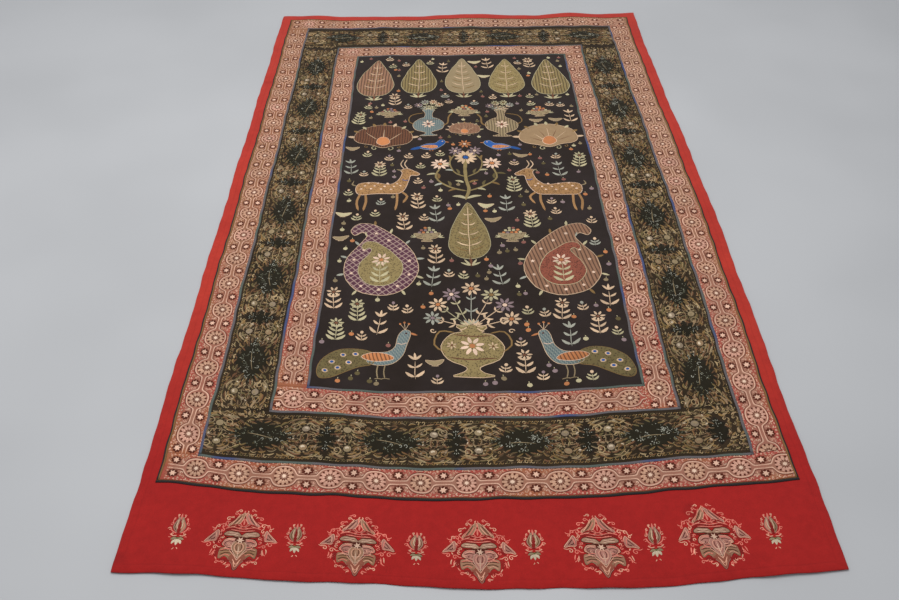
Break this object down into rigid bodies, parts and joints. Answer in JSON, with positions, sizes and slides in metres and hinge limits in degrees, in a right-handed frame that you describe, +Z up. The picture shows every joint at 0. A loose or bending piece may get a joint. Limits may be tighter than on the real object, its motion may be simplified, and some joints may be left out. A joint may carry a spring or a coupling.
{
  "type": "embroidered wool and silk hanging",
  "caption": "Large embroidered wall hanging laid out flat: red wool cloth with a wide embroidered skirt, and a dark panel framed by brick-red and black bands sewn on it",
  "frame": {"origin": "on the floor under the middle of the laid cloth's bounding box", "axes": "+X to the right and +Y from the embroidered skirt to the plain top hem, +Z up out of the cloth's face"},
  "size_m": [1.5098, 2.659, 0.0067],
  "materials": {
    "red_wool": "felted wool cloth, soft nap",
    "black_wool": "felted wool cloth, matt",
    "brick_wool": "felted wool cloth, faded brick red",
    "umber_wool": "felted wool cloth, matt",
    "slate_silk": "ribbed silk ribbon, slight sheen",
    "dark_silk": "corded silk piping, slight sheen",
    "silk_thread": "silk chain stitch, soft sheen"
  },
  "bodies": {
    "root": {"ground_cloth": "red_wool", "centre_field": "black_wool", "inner_border_bottom": "brick_wool", "inner_border_top": "brick_wool", "inner_border_left": "brick_wool", "inner_border_right": "brick_wool", "outer_border_bottom": "brick_wool", "outer_border_top": "brick_wool", "outer_border_left": "brick_wool", "outer_border_right": "brick_wool", "wide_border_bottom": "umber_wool", "wide_border_top": "umber_wool", "wide_border_left": "umber_wool", "wide_border_right": "umber_wool", "field_ribbon_bottom": "slate_silk", "field_ribbon_top": "slate_silk", "field_ribbon_left": "slate_silk", "field_ribbon_right": "slate_silk", "inner_ribbon_bottom": "slate_silk", "inner_ribbon_top": "slate_silk", "inner_ribbon_left": "slate_silk", "inner_ribbon_right": "slate_silk", "outer_ribbon_bottom": "slate_silk", "outer_ribbon_top": "slate_silk", "outer_ribbon_left": "slate_silk", "outer_ribbon_right": "slate_silk", "edge_piping_bottom": "dark_silk", "edge_piping_top": "dark_silk", "edge_piping_left": "dark_silk", "edge_piping_right": "dark_silk"}
  },
  "joints": []
}
